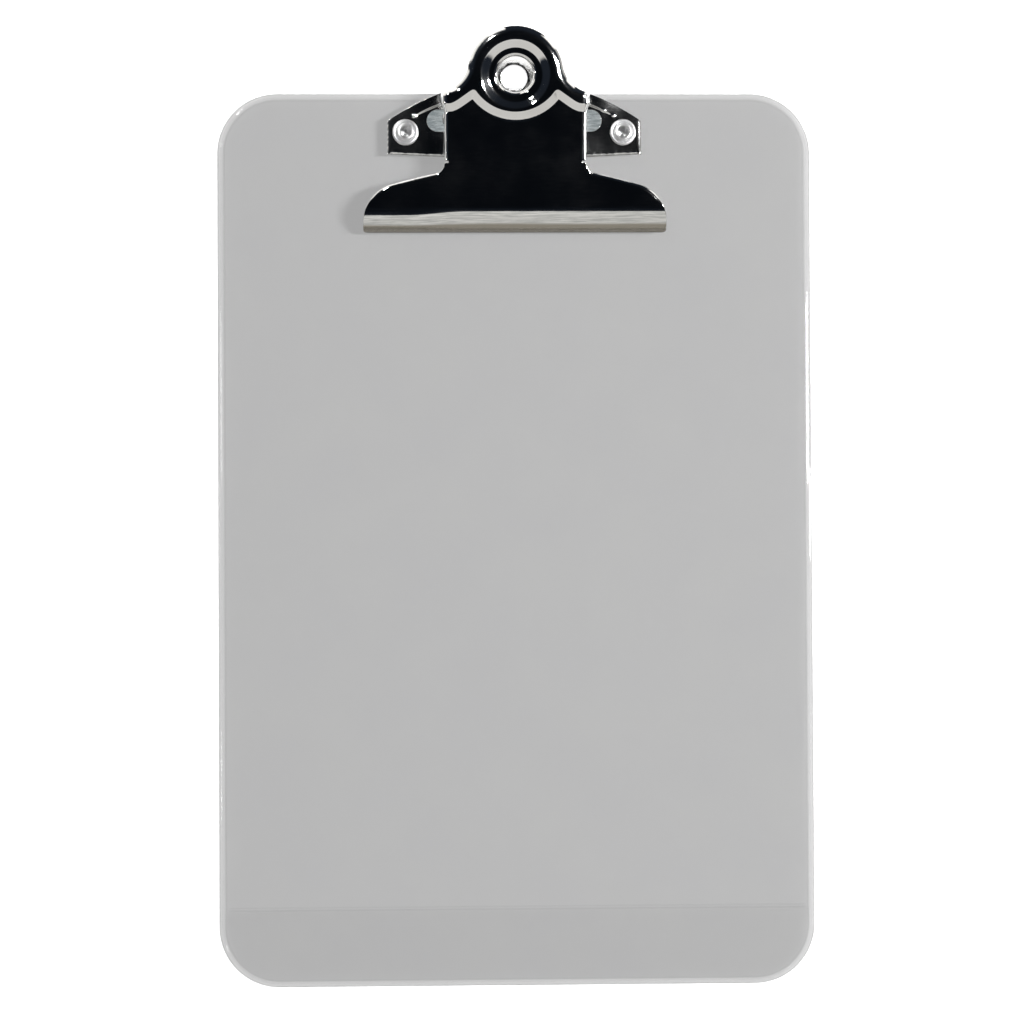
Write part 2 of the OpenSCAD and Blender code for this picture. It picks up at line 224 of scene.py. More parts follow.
def sheet_mesh(loops, points, surface, t, edge, place=None, k=3):
    """A sheet of thickness t (mm) whose front is surface(u, v), bounded by loops
    (the first is the outside, the rest are holes), with rounded edges."""
    loops = [turned(p, i == 0) for i, p in enumerate(loops)]
    normals = [loop_normals(p) for p in loops]
    insets = [p - edge * n for p, n in zip(loops, normals)]
    pts = [tuple(q) for p in insets for q in p]
    edges, start = [], 0
    starts = []
    for p in insets:
        m = len(p)
        starts.append(start)
        edges += [(start + i, start + (i + 1) % m) for i in range(m)]
        start += m
    inner = points[inside(points, insets)]
    inner = far_from(inner, insets, 0.22)
    pts += [tuple(q) for q in inner]
    vs, _, fs, ov, _, _ = delaunay_2d_cdt(
        [Vector(p) for p in pts], edges, [], 0, 1e-7, True)
    back = {}
    for out, ins in enumerate(ov):
        for i in ins:
            back[i] = out
    V2 = np.array([tuple(v) for v in vs])
    F = np.array([f for f in fs if len(f) == 3])
    cen = V2[F].mean(1)
    F = F[inside(cen, insets)]
    area = ((V2[F[:, 1]] - V2[F[:, 0]])[:, 0] * (V2[F[:, 2]] - V2[F[:, 0]])[:, 1]
            - (V2[F[:, 1]] - V2[F[:, 0]])[:, 1] * (V2[F[:, 2]] - V2[F[:, 0]])[:, 0])
    F[area < 0] = F[area < 0][:, ::-1]
    # an outline edge has one triangle; a sliver beyond a straight stretch goes
    rim = {tuple(sorted((back[i], back[j]))) for i, j in edges}
    owners = {}
    for i, f in enumerate(F):
        for key in ((f[0], f[1]), (f[1], f[2]), (f[2], f[0])):
            key = tuple(sorted(int(q) for q in key))
            if key in rim:
                owners.setdefault(key, []).append(i)
    extra = {min(o, key=lambda i: abs(area[i])) for o in owners.values() if len(o) > 1}
    F = np.delete(F, sorted(extra), axis=0)
    n0 = len(V2)

    def lift(uv, depth):
        h = 0.01
        p = surface(uv)
        du = surface(uv + [h, 0]) - surface(uv - [h, 0])
        dv = surface(uv + [0, h]) - surface(uv - [0, h])
        nn = np.cross(du, dv)
        nn /= np.linalg.norm(nn, axis=1)[:, None]
        return p - np.asarray(depth)[:, None] * nn

    verts = [lift(V2, np.zeros(n0)), lift(V2, np.full(n0, t))]
    faces = [tuple(f) for f in F] + [tuple(n0 + i for i in f[::-1]) for f in F]
    total = 2 * n0
    for li, (p, n) in enumerate(zip(loops, normals)):
        m = len(p)
        top = [back[starts[li] + i] for i in range(m)]
        rings = [top]
        for a in np.radians(np.linspace(0, 90, k + 1))[1:]:
            q = p - edge * (1 - math.sin(a)) * n
            verts.append(lift(q, np.full(m, edge * (1 - math.cos(a)))))
            rings.append(list(range(total, total + m)))
            total += m
        for a in np.radians(np.linspace(90, 0, k + 1))[:-1]:
            q = p - edge * (1 - math.sin(a)) * n
            verts.append(lift(q, np.full(m, t - edge * (1 - math.cos(a)))))
            rings.append(list(range(total, total + m)))
            total += m
        rings.append([n0 + i for i in top])
        for r0, r1 in zip(rings[:-1], rings[1:]):
            for i in range(m):
                j = (i + 1) % m
                faces.append((r0[i], r1[i], r1[j], r0[j]))
    V = np.vstack(verts)
    if place is not None:
        V = place(V)
    used = np.zeros(len(V), bool)
    for f in faces:
        used[list(f)] = True
    index = np.cumsum(used) - 1
    return V[used], [tuple(int(index[i]) for i in f) for f in faces]


def grid(x0, x1, y0, y1, s, rows=None):
    """Staggered points."""
    ys = rows if rows is not None else np.arange(y0, y1 + s / 2, s * 0.87)
    out = []
    for i, y in enumerate(ys):
        xs = np.arange(x0 + (i % 2) * s / 2, x1 + s / 2, s)
        out.append(np.c_[xs, np.full(len(xs), y)])
    return np.vstack(out)


def revolve(profile, n=64):
    """Closed solid of revolution about z from (r, z) points; points with r = 0
    become poles."""
    prof = np.asarray(profile, float)
    verts, rows = [], []
    for r, z in prof:
        if r < 1e-6:
            rows.append([len(verts)])
            verts.append((0, 0, z))
        else:
            rows.append(list(range(len(verts), len(verts) + n)))
            for i in range(n):
                a = 2 * math.pi * i / n
                verts.append((r * math.cos(a), r * math.sin(a), z))
    faces = []
    pairs = list(zip(rows[:-1], rows[1:]))
    if prof[0][0] > 1e-6:
        pairs.append((rows[-1], rows[0]))
    for a, b in pairs:
        for i in range(n):
            j = (i + 1) % n
            if len(a) == 1 and len(b) == 1:
                continue
            if len(a) == 1:
                faces.append((a[0], b[j], b[i]))
            elif len(b) == 1:
                faces.append((a[i], a[j], b[0]))
            else:
                faces.append((a[i], a[j], b[j], b[i]))
    return np.array(verts), faces


def rounded(points, r, k=4):
    """Rounds the corners of an open (r, z) profile."""
    p = [np.asarray(q, float) for q in points]
    out = [p[0]]
    for i in range(1, len(p) - 1):
        a, b, c = p[i - 1], p[i], p[i + 1]
        rr = r if np.isscalar(r) else r[i]
        la, lc = np.linalg.norm(a - b), np.linalg.norm(c - b)
        d = min(rr, la * 0.45, lc * 0.45)
        if d < 1e-4:
            out.append(b)
            continue
        s, e = b + (a - b) / la * d, b + (c - b) / lc * d
        for t in np.linspace(0, 1, k + 1):
            out.append((1 - t) ** 2 * s + 2 * t * (1 - t) * b + t * t * e)
    out.append(p[-1])
    return np.array(out)


# -------------------------------------------------------------- materials
def new_material(name):
    m = bpy.data.materials.new(name)
    m.use_nodes = True
    nt = m.node_tree
    nt.nodes.clear()
    out = nt.nodes.new("ShaderNodeOutputMaterial")
    return m, nt, out


def node(nt, kind, **values):
    n = nt.nodes.new(kind)
    for k, v in values.items():
        if hasattr(n, k):
            setattr(n, k, v)
        else:
            n.inputs[k.replace("_", " ")].default_value = v
    return n


def noise(nt, coords, scale, stretch=(1, 1, 1), detail=3.0, rough=0.5, turn=0.0):
    mp = nt.nodes.new("ShaderNodeMapping")
    mp.inputs["Scale"].default_value = stretch
    mp.inputs["Rotation"].default_value = (0, 0, turn)
    nt.links.new(coords, mp.inputs["Vector"])
    nz = nt.nodes.new("ShaderNodeTexNoise")
    nz.inputs["Scale"].default_value = scale
    nz.inputs["Detail"].default_value = detail
    nz.inputs["Roughness"].default_value = rough
    nt.links.new(mp.outputs["Vector"], nz.inputs["Vector"])
    return nz.outputs["Fac"]


def mapped(nt, source, lo, hi, a, b):
    r = nt.nodes.new("ShaderNodeMapRange")
    r.interpolation_type = "SMOOTHSTEP"
    r.inputs["From Min"].default_value = lo
    r.inputs["From Max"].default_value = hi
    r.inputs["To Min"].default_value = a
    r.inputs["To Max"].default_value = b
    nt.links.new(source, r.inputs["Value"])
    return r.outputs["Result"]


def mixed(nt, factor, a, b):
    """Colour mix; a and b are colours or sockets."""
    m = nt.nodes.new("ShaderNodeMix")
    m.data_type = "RGBA"
    nt.links.new(factor, m.inputs["Factor"])
    for key, v in (("A", a), ("B", b)):
        if isinstance(v, tuple):
            m.inputs[key].default_value = (*v, 1)
        else:
            nt.links.new(v, m.inputs[key])
    return m.outputs["Result"]


def mathed(nt, op, a, b=None, c=None):
    n = nt.nodes.new("ShaderNodeMath")
    n.operation = op
    for i, v in enumerate((a, b, c)):
        if v is None:
            continue
        if isinstance(v, (int, float)):
            n.inputs[i].default_value = v
        else:
            nt.links.new(v, n.inputs[i])
    return n.outputs[0]


def plated_steel(name, dark, light, rough=(0.05, 0.14), bump=0.05, scratch=0.5,
                 turn=0.0, lip_brushing_and_shade=None):
    """Nickel-plated sheet steel: near-mirror, with fine rolling lines, scratches
    and a slightly warmer, duller patchiness."""
    m, nt, out = new_material(name)
    tc = nt.nodes.new("ShaderNodeTexCoord")
    co = tc.outputs["Object"]
    b = nt.nodes.new("ShaderNodeBsdfPrincipled")
    b.inputs["Metallic"].default_value = 1.0
    patch = noise(nt, co, 90.0, detail=4.0)
    lines = noise(nt, co, 260.0, (1.0, 24.0, 1.0), detail=5.0, rough=0.65, turn=turn)
    fine = noise(nt, co, 1400.0, (1.0, 7.0, 1.0), detail=2.0, turn=turn + 0.35)
    mix = nt.nodes.new("ShaderNodeMix")
    mix.data_type = "RGBA"
    mix.inputs["A"].default_value = (*dark, 1)
    mix.inputs["B"].default_value = (*light, 1)
    nt.links.new(mapped(nt, patch, 0.3, 0.7, 0.0, 1.0), mix.inputs["Factor"])
    colour = mix.outputs["Result"]
    mul = nt.nodes.new("ShaderNodeMath")
    mul.operation = "MULTIPLY_ADD"
    nt.links.new(lines, mul.inputs[0])
    mul.inputs[1].default_value = scratch
    nt.links.new(patch, mul.inputs[2])
    roughness = mapped(nt, mul.outputs[0], 0.45, 1.05, rough[0], rough[1])
    if lip_brushing_and_shade is not None:
        # streaky brushed colour along the lip; past the lip's turn below the horizon, where
        # it faces the board, the colour is painted darker and warmer, a painted shade, and
        # its very end gets a painted dark contact-shadow line
        y1, z0, z_end = lip_brushing_and_shade
        sp = nt.nodes.new("ShaderNodeSeparateXYZ")
        nt.links.new(co, sp.inputs[0])
        wob = noise(nt, co, 70.0, (1.0, 6.0, 6.0), detail=4.0)
        zz = mathed(nt, "MULTIPLY_ADD", wob, 0.0003, sp.outputs[2])
        lip_shade_mask = mathed(nt, "MULTIPLY",
                      mapped(nt, zz, z0 - 0.00025, z0 + 0.0004, 1.0, 0.0),
                      mapped(nt, sp.outputs[1], y1 - 0.001, y1, 1.0, 0.0))
        lipm = mathed(nt, "MULTIPLY", 0.85,
                      mapped(nt, sp.outputs[1], y1 - 0.0012, y1 - 0.0002, 1.0, 0.0))
        streak = noise(nt, co, 150.0, (1.0, 22.0, 22.0), detail=4.0, rough=0.6)
        brushed = mixed(nt, mapped(nt, streak, 0.36, 0.64, 0.0, 1.0),
                        (0.60, 0.615, 0.60), (0.97, 0.97, 0.95))
        colour = mixed(nt, lipm, colour, brushed)
        # painted shade: where the lip faces down towards the board, its colour is painted a
        # darker, warmer grey
        colour = mixed(nt, lip_shade_mask, colour,
                       mixed(nt, lines, (0.335, 0.31, 0.26), (0.48, 0.45, 0.39)))
        # painted contact shadow: a dark band at the lip's very end, next to the board
        shade = mathed(nt, "MULTIPLY", lip_shade_mask,
                       mapped(nt, sp.outputs[2], z_end + 0.00030, z_end + 0.00048,
                              1.0, 0.0))
        colour = mixed(nt, shade, colour, (0.20, 0.19, 0.165))
        roughness = mathed(nt, "MULTIPLY_ADD", lip_shade_mask, 0.12, roughness)
    nt.links.new(colour, b.inputs["Base Color"])
    nt.links.new(roughness, b.inputs["Roughness"])
    add = nt.nodes.new("ShaderNodeMath")
    add.operation = "MULTIPLY_ADD"
    nt.links.new(fine, add.inputs[0])
    add.inputs[1].default_value = 0.35
    nt.links.new(lines, add.inputs[2])
    bp = nt.nodes.new("ShaderNodeBump")
    bp.inputs["Strength"].default_value = bump
    bp.inputs["Distance"].default_value = 0.00005
    nt.links.new(add.outputs[0], bp.inputs["Height"])
    nt.links.new(bp.outputs["Normal"], b.inputs["Normal"])
    nt.links.new(b.outputs["BSDF"], out.inputs["Surface"])
    return m


def smoke_plastic(name):
    """Clear smoke-grey plastic: light bends through it and it darkens with depth."""
    m, nt, out = new_material(name)
    tc = nt.nodes.new("ShaderNodeTexCoord")
    co = tc.outputs["Object"]
    b = nt.nodes.new("ShaderNodeBsdfPrincipled")
    b.inputs["Transmission Weight"].default_value = 1.0
    b.inputs["IOR"].default_value = 1.49
    haze = noise(nt, co, 55.0, detail=3.0)
    sp = nt.nodes.new("ShaderNodeSeparateXYZ")
    nt.links.new(co, sp.inputs[0])
    cx, cy = (BW / 2 - CORNER) * MM, (BH / 2 - CORNER) * MM
    dx = mathed(nt, "MAXIMUM", mathed(nt, "SUBTRACT",
                mathed(nt, "ABSOLUTE", sp.outputs[0]), cx), 0.0)
    dy = mathed(nt, "MAXIMUM", mathed(nt, "SUBTRACT",
                mathed(nt, "ABSOLUTE", sp.outputs[1]), cy), 0.0)
    far = mathed(nt, "SQRT", mathed(nt, "ADD", mathed(nt, "MULTIPLY", dx, dx),
                                    mathed(nt, "MULTIPLY", dy, dy)))
    inset = mathed(nt, "SUBTRACT", CORNER * MM, far)
    # the rim is painted clearer than the panel, a painted highlight band for light bent
    # through the rounded edge, with a painted dark line on its inner side and another at
    # the very edge
    tint = mixed(nt, mapped(nt, haze, 0.3, 0.7, 0.0, 1.0),
                 (0.803, 0.803, 0.806), (0.813, 0.813, 0.811))
    rim = mapped(nt, inset, 0.00145, 0.00175, 1.0, 0.0)
    tint = mixed(nt, rim, tint, (0.91, 0.91, 0.91))
    line = mathed(nt, "MULTIPLY", mapped(nt, inset, 0.0014, 0.0017, 0.0, 1.0),
                  mapped(nt, inset, 0.0019, 0.0023, 1.0, 0.0))
    edge = mapped(nt, inset, 0.00025, 0.0006, 1.0, 0.0)
    # painted shade: two dark lines along the low step across the panel, for the step's
    # shaded face
    step_shade = None
    for down, much in ((-0.80, 0.75), (-0.16, 1.0)):
        off = mathed(nt, "ABSOLUTE", mathed(nt, "SUBTRACT", sp.outputs[1],
                                            (STEP_Y - down) * MM))
        one = mapped(nt, off, 0.00012, 0.00032, much, 0.0)
        step_shade = one if step_shade is None else mathed(nt, "MAXIMUM", step_shade, one)
    step_shade = mathed(nt, "MULTIPLY", step_shade, mathed(nt, "MULTIPLY",
                   mapped(nt, inset, 0.0022, 0.0034, 0.0, 1.0),
                   mapped(nt, sp.outputs[2], 0.002, 0.0025, 0.0, 1.0)))
    # painted shade lines: the step's lines and the rim's inner dark line darken the tint
    dark = mathed(nt, "MAXIMUM", step_shade, mathed(nt, "MULTIPLY", line, 0.4))
    tint = mixed(nt, dark, tint, (0.72, 0.72, 0.72))
    # painted dark line along the outermost edge of the rim
    tint = mixed(nt, edge, tint, (0.55, 0.55, 0.55))
    # darker, green-blue streaky patch under the windows beside the clip's ears: painted
    # shadow of the clip with a painted streaky reflection
    ax_ = mathed(nt, "ABSOLUTE", sp.outputs[0])
    window_shade = mathed(nt, "MULTIPLY",
                   mathed(nt, "MULTIPLY", mapped(nt, ax_, 0.0165, 0.0172, 0.0, 1.0),
                          mapped(nt, ax_, 0.0222, 0.0232, 1.0, 0.0)),
                   mathed(nt, "MULTIPLY",
                          mapped(nt, sp.outputs[1], 0.1030, 0.1048, 0.0, 1.0),
                          mapped(nt, sp.outputs[1], 0.1100, 0.1110, 1.0, 0.0)))
    window_shade = mathed(nt, "MULTIPLY", window_shade, mapped(nt, sp.outputs[2], 0.002, 0.0025,
                                                 0.0, 1.0))
    streak = noise(nt, co, 300.0, (1.0, 6.0, 1.0), detail=4.0, rough=0.6)
    tint = mixed(nt, window_shade, tint, mixed(nt, mapped(nt, streak, 0.38, 0.62, 0.0, 1.0),
                                        (0.30, 0.39, 0.42), (0.74, 0.87, 0.90)))
    nt.links.new(tint, b.inputs["Base Color"])
    rub = noise(nt, co, 420.0, (1.0, 9.0, 1.0), detail=4.0, rough=0.7, turn=0.5)
    nt.links.new(mapped(nt, rub, 0.45, 0.8, 0.0, 0.025), b.inputs["Roughness"])
    bp = nt.nodes.new("ShaderNodeBump")
    bp.inputs["Strength"].default_value = 0.02
    bp.inputs["Distance"].default_value = 0.00002
    nt.links.new(rub, bp.inputs["Height"])
    nt.links.new(bp.outputs["Normal"], b.inputs["Normal"])
    clear = nt.nodes.new("ShaderNodeBsdfTransparent")
    clear.inputs["Color"].default_value = (0.96, 0.96, 0.96, 1)
    lp = nt.nodes.new("ShaderNodeLightPath")
    mx = nt.nodes.new("ShaderNodeMixShader")
    nt.links.new(lp.outputs["Is Shadow Ray"], mx.inputs[0])
    nt.links.new(b.outputs["BSDF"], mx.inputs[1])
    nt.links.new(clear.outputs["BSDF"], mx.inputs[2])
    nt.links.new(mx.outputs["Shader"], out.inputs["Surface"])
    va = nt.nodes.new("ShaderNodeVolumeAbsorption")
    va.inputs["Color"].default_value = (0.5, 0.5, 0.5, 1)
    va.inputs["Density"].default_value = 486.0
    nt.links.new(va.outputs["Volume"], out.inputs["Volume"])
    return m


M_BOARD = smoke_plastic("smoke_plastic")
# where the rolled lip turns past the horizon; below it the lip's colour is painted darker,
# a painted shade
lip_turn = math.radians(37.4)
lip_shade_z = (PIV[2] + (-21.9 - 7.3 * math.sin(lip_turn)) * math.sin(TILT)
          + (5.0 - 7.3 * (1 - math.cos(lip_turn))) * math.cos(TILT))
M_LEVER = plated_steel("lever_steel", (0.84, 0.835, 0.82), (0.92, 0.92, 0.91),
                       rough=(0.03, 0.10),
                       lip_brushing_and_shade=((PIV[1] - 22.0) * MM, (lip_shade_z - 0.03) * MM, (BT + 0.68) * MM))
M_BASE = plated_steel("base_steel", (0.80, 0.80, 0.79), (0.90, 0.90, 0.90),
                      rough=(0.07, 0.18), bump=0.1, turn=0.2)
M_RIVET = plated_steel("rivet_steel", (0.86, 0.86, 0.86), (0.95, 0.95, 0.95),
                       rough=(0.24, 0.42), bump=0.2)
M_WASHER = plated_steel("washer_steel", (0.86, 0.86, 0.87), (0.96, 0.96, 0.97),
                        rough=(0.28, 0.46), bump=0.2, turn=0.9)
M_PIN = plated_steel("pin_steel", (0.58, 0.58, 0.58), (0.72, 0.72, 0.72),
                     rough=(0.16, 0.34), bump=0.2, turn=1.57)
M_SPRING = plated_steel("spring_steel", (0.30, 0.30, 0.31), (0.46, 0.46, 0.47),
                        rough=(0.2, 0.42), bump=0.25)


# ------------------------------------------------------------------ board
def board_ring(inset, z, step=0.5):
    """Rounded-rectangle loop (counterclockwise), inset from the widest outline."""
    r = CORNER - inset
    cx, cy = BW / 2 - CORNER, BH / 2 - CORNER
    pts = []
    n = max(6, int(CORNER * 1.5708 / step))
    for c, a0 in (((cx, cy), 0), ((-cx, cy), 90), ((-cx, -cy), 180), ((cx, -cy), 270)):
        for i in range(n + 1):
            a = math.radians(a0 + 90 * i / n)
            pts.append((c[0] + r * math.cos(a), c[1] + r * math.sin(a)))
    # straight stretches, the same number of points on every ring
    out = []
    m = len(pts)
    for i in range(m):
        a, b = np.array(pts[i]), np.array(pts[(i + 1) % m])
        out.append(a)
        ln = np.linalg.norm(b - a)
        if i % (n + 1) == n:
            k = 24
            for j in range(1, k):
                out.append(a + (b - a) * j / k)
    return np.array(out)


def build_board():
    verts, faces = [], []
    count = 0
    rings = []
    prof = []
    for a in np.radians(np.linspace(0, 90, 9)):
        prof.append((RIM * (1 - math.sin(a)), BT - RIM * (1 - math.cos(a))))
    for a in np.radians(np.linspace(90, 0, 9)):
        prof.append((RIM * (1 - math.sin(a)), RIM * (1 - math.cos(a))))
    ys = STEP_Y

    def top_z(p):
        x, y = p[:, 0], p[:, 1]
        cx, cy = BW / 2 - CORNER, BH / 2 - CORNER
        dx, dy = np.maximum(np.abs(x) - cx, 0), np.maximum(np.abs(y) - cy, 0)
        d = CORNER - np.hypot(dx, dy)
        d = np.where((dx == 0) | (dy == 0),
                     np.minimum(BW / 2 - np.abs(x), BH / 2 - np.abs(y)), d)
        fade = smooth((d - RIM - 0.25) / 0.9)
        return BT + 0.2 * smooth((ys + 0.25 - y) / 0.5) * fade

    loops = []
    for inset, z in prof:
        p = board_ring(inset, z)
        rings.append(list(range(count, count + len(p))))
        verts.append(np.c_[p, np.full(len(p), z)])
        count += len(p)
        loops.append(p)
    m = len(rings[0])
    for r0, r1 in zip(rings[:-1], rings[1:]):
        for i in range(m):
            j = (i + 1) % m
            faces.append((r0[i], r1[i], r1[j], r0[j]))

    def cap(outer, ring, z_of, hole_r, up, extra):
        nonlocal count
        holes = [arc((s * RIVX, RIVY), hole_r, 0, 360, 0.25)[:-1] for s in (-1, 1)]
        lists = [outer] + holes
        pts = [tuple(q) for p in lists for q in p]
        edges, start, starts = [], 0, []
        for p in lists:
            k = len(p)
            starts.append(start)
            edges += [(start + i, start + (i + 1) % k) for i in range(k)]
            start += k
        near = [board_ring(RIM + d, 0) for d in (0.35, 1.3)]
        more = np.vstack(near + [extra])
        more = more[inside(more, [outer])]
        around = [arc((s * RIVX, RIVY), hole_r + 0.4, 0, 360, 0.4)[:-1]
                  for s in (-1, 1)]
        more = np.vstack([more] + around)
        more = far_from(more, lists, 0.2)
        base = len(pts)
        pts += [tuple(q) for q in more]
        vs, _, fs, ov, _, _ = delaunay_2d_cdt(
            [Vector(p) for p in pts], edges, [], 0, 1e-7, True)
        V2 = np.array([tuple(v) for v in vs])
        F = np.array([f for f in fs if len(f) == 3])
        F = F[inside(V2[F].mean(1), lists)]
        ar = np.cross(np.c_[V2[F[:, 1]] - V2[F[:, 0]], np.zeros(len(F))],
                      np.c_[V2[F[:, 2]] - V2[F[:, 0]], np.zeros(len(F))])[:, 2]
        flip = (ar < 0) if up else (ar > 0)
        F[flip] = F[flip][:, ::-1]
        back = {}
        for o, ins in enumerate(ov):
            for i in ins:
                back[i] = o
        gl = {}
        for i in range(len(outer)):
            gl[back[i]] = ring[i]
        new = []
        for o in range(len(V2)):
            if o not in gl:
                gl[o] = count + len(new)
                new.append(V2[o])
        new = np.array(new)
        z = z_of(new)
        verts.append(np.c_[new, z])
        count += len(new)
        for f in F:
            faces.append(tuple(gl[i] for i in f))
        return [[gl[back[starts[1 + h] + i]] for i in range(len(holes[h]))]
                for h in range(2)], holes

    rows = np.concatenate([ys + np.linspace(-0.45, 0.45, 13)])
    ex = grid(-BW / 2, BW / 2, 0, 0, 2.2, rows=rows)
    ends = []
    for s in (-1, 1):
        for d in np.linspace(0.15, 1.4, 7):
            ends.append(np.c_[np.full(len(rows), s * (BW / 2 - RIM - d)), rows])
    wide = grid(-BW / 2 + 6, BW / 2 - 6, -BH / 2 + 6, BH / 2 - 6, 9.0)
    top_holes, _ = cap(loops[0], rings[0], top_z, 2.0, True,
                       np.vstack([ex] + ends + [wide]))
    low_holes, low_pts = cap(loops[-1], rings[-1], lambda p: np.zeros(len(p)), 3.6,
                             False, wide)
    # hole walls: counterbore at the back, then the narrow hole
    for h in range(2):
        s = (-1, 1)[h]
        lo, hi = low_holes[h], top_holes[h]
        n = len(lo)
        levels = [(3.6, 0.12), (3.6, 0.9), (3.5, 0.9)]
        prev = lo
        for r, z in levels:
            p = arc((s * RIVX, RIVY), r, 0, 360, 0.25)
            t = np.radians(np.arange(n) * 360.0 / n)
            q = np.c_[s * RIVX + r * np.cos(t), RIVY + r * np.sin(t), np.full(n, z)]
            ids = list(range(count, count + n))
            verts.append(q)
            count += n
            for i in range(n):
                j = (i + 1) % n
                faces.append((prev[i], prev[j], ids[j], ids[i]))
            prev = ids
        k = len(hi)
        t = np.radians(np.arange(k) * 360.0 / k)
        q = np.c_[s * RIVX + 2.0 * np.cos(t), RIVY + 2.0 * np.sin(t), np.full(k, 0.9)]
        ids = list(range(count, count + k))
        verts.append(q)
        count += k
        for i in range(k):
            j = (i + 1) % k
            faces.append((ids[i], ids[j], hi[j], hi[i]))
        # annulus between prev (n points) and ids (k points)
        i = j = 0
        while i < n or j < k:
            if j >= k or (i < n and (i + 1) / n <= (j + 1) / k):
                faces.append((prev[i % n], prev[(i + 1) % n], ids[j % k]))
                i += 1
            else:
                faces.append((prev[i % n], ids[(j + 1) % k], ids[j % k]))
                j += 1
    return np.vstack(verts) * MM, faces


bv, bf = build_board()
board = make_object("board_panel", bv, bf, M_BOARD)
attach(board, BASE_BODY)
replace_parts(board, "board")

# ------------------------------------------------------------- base plate
ARC_R = 56.95
ARC_Y = TOP + 3.0 - ARC_R
TAB = np.array([0.0, TOP + 3.7])
TAB_R, HANG_R = 10.5, 3.4
BHW = 32.6
BLOW = TOP - 16.8
EAR_X0 = 15.3                 # where the plate bends up into its ears
BASE_Z = 3.03
B_T = 0.97


EAR_R = 2.58
EAR_TIP = EAR_X0 + 0.25 * math.pi + (PIV[2] - (BASE_Z + B_T) - 0.5)


def base_low(ax):
    """The plate's lower edge: level in the middle, rising slightly outwards."""
    return BLOW + 0.02 + 0.9 * np.clip((ax - 14.0) / (BHW - 14.0), 0, 1)


def base_outline():
    f = 4.0
    d1, d2 = ARC_R + f, TAB_R + f
    dy = TAB[1] - ARC_Y
    y = (d1 * d1 - d2 * d2 + dy * dy) / (2 * dy)
    x = math.sqrt(d1 * d1 - y * y)
    fc = np.array([x, ARC_Y + y])
    a_on_arc = math.degrees(math.atan2(y, x))
    tp = fc - TAB
    a_on_tab = math.degrees(math.atan2(tp[1], tp[0]))
    a_side = math.degrees(math.acos(BHW / ARC_R))
    cr = 0.9
    right = [np.array([[14.0, BLOW + 0.02], [BHW - cr, BLOW + 0.92]]),
             arc((BHW - cr, BLOW + 0.92 + cr), cr, -88, 0),
             np.array([[BHW, BLOW + 2.7]]),
             np.array([[BHW, ARC_Y + ARC_R * math.sin(math.radians(a_side)) - 0.2]])]
    arc_pts = arc((0, ARC_Y), ARC_R, a_side + 0.25, a_on_arc, 0.4)
    fil = arc(fc, f, 180 + a_on_arc, 180 + a_on_tab, 0.3)
    # the fillet turns from the arc's tangent to the tab's
    a0, a1 = math.atan2(ARC_Y - fc[1], -fc[0]), math.atan2(-tp[1], -tp[0])
    if a1 < 0:
        a1 += 2 * math.pi
    if a0 < 0:
        a0 += 2 * math.pi
    fil = arc(fc, f, math.degrees(a0), math.degrees(a1), 0.3)
    tab = arc(TAB, TAB_R, a_on_tab, 90, 0.4)
    half = tidy(np.vstack(right + [arc_pts, fil, tab]))
    left = half[::-1] * [-1, 1]
    return tidy(dense(np.vstack([half, left[1:]]), 0.5, close=True))


def base_surface(uv):
    x, y = uv[:, 0], uv[:, 1]
    ax = np.abs(x)
    rho = np.hypot(x, y - ARC_Y)
    rise = (0.5 * ramp(rho - 54.0, 0.62, 0.2) * smooth((28.6 - ax) / 8.0)
            + 0.4 * smooth((rho - 54.5) / 3.0) * smooth((29.5 - ax) / 12.0))
    for bx in (-25.6, 22.7, 25.3):
        by = ARC_Y + math.sqrt(54.25 ** 2 - bx * bx)
        rise += 0.24 * np.exp(-((x - bx) ** 2 + 1.6 * (y - by) ** 2) / 0.30)
    z = BASE_Z + B_T + rise
    es = np.clip(1 - (BHW - ax) / 0.55, 0, 1.2)
    z = z - 0.22 * es * es * (y < ARC_Y + 48)
    px = x.copy()
    # the lower edge is turned down a little by the shears, unevenly
    low = base_low(ax)
    e = np.clip(1 - (y - low) / (1.0 + 0.45 * np.sin(2.3 * x) * np.sin(1.1 * x + 1.0)),
                0, 1.3)
    z = z - np.where(ax < BHW - 0.9, 0.50 * e * e, 0.0)
    # ears folded up from the plate
    dy = np.abs(y - PIV[1])
    flap = (ax > EAR_X0) & (dy < EAR_R + 0.09) & (
        (ax < EAR_TIP) | (np.hypot(ax - EAR_TIP, dy) < EAR_R + 0.09))
    s = ax - EAR_X0
    a = np.clip(s / 0.5, 0, math.pi / 2)
    fx = EAR_X0 + 0.5 * np.sin(a)
    fz = BASE_Z + B_T + 0.5 * (1 - np.cos(a)) + np.maximum(s - 0.25 * math.pi, 0)
    px = np.where(flap, np.sign(x) * fx, px)
    z = np.where(flap, fz, z)
    return np.c_[px, y, z]


